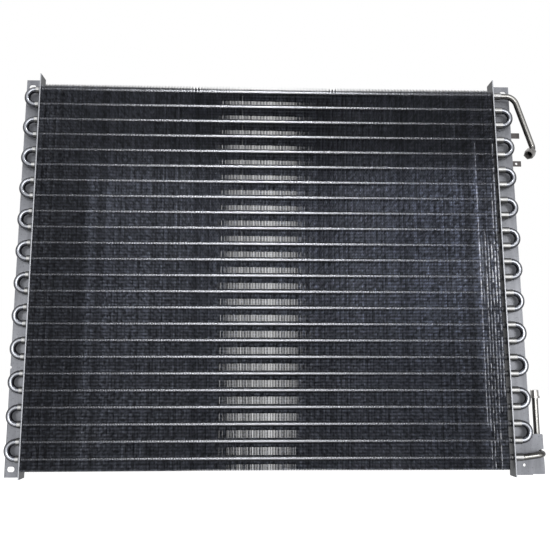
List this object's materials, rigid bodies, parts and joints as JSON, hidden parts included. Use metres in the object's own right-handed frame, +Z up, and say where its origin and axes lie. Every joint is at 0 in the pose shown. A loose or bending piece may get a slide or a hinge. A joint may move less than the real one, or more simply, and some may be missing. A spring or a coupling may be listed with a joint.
{
  "type": "air conditioning condenser",
  "caption": "Tube and fin air conditioning condenser: finned straight tubes joined by return bends between two flanged side plates, with an inlet pipe and nut and an outlet riser.",
  "frame": {"origin": "bottom centre of the whole part's box, on the plane that the plates' lower ends stand on", "axes": "X along the tubes toward the inlet and outlet, Y from the front to the rear flanges, Z up"},
  "size_m": [0.8383, 0.0523, 0.635],
  "materials": {
    "side_plates": "galvanised, satin",
    "fins": "black coated, satin",
    "tubes": "semi gloss",
    "return_bends": "dark, glossy",
    "line_pipes": "glossy",
    "fittings": "plated, semi gloss",
    "tabs": "dark, matt"
  },
  "bodies": {
    "root": {"left_side_plate": "side_plates", "right_side_plate": "side_plates", "outlet_ear": "side_plates", "fin_pack": "fins", "tube_01": "tubes", "tube_02": "tubes", "tube_03": "tubes", "tube_04": "tubes", "tube_05": "tubes", "tube_06": "tubes", "tube_07": "tubes", "tube_08": "tubes", "tube_09": "tubes", "tube_10": "tubes", "tube_11": "tubes", "tube_12": "tubes", "tube_13": "tubes", "tube_14": "tubes", "tube_15": "tubes", "tube_16": "tubes", "tube_17": "tubes", "tube_18": "tubes", "tube_19": "tubes", "tube_20": "tubes", "tube_21": "tubes", "tube_22": "tubes", "tube_23": "tubes", "tube_24": "tubes", "left_return_bends": "return_bends", "right_return_bends": "return_bends", "inlet_pipe": "line_pipes", "inlet_nut": "fittings", "outlet_pipe": "line_pipes", "outlet_fitting": "fittings", "upper_tab": "tabs", "lower_tab": "tabs"}
  },
  "joints": []
}
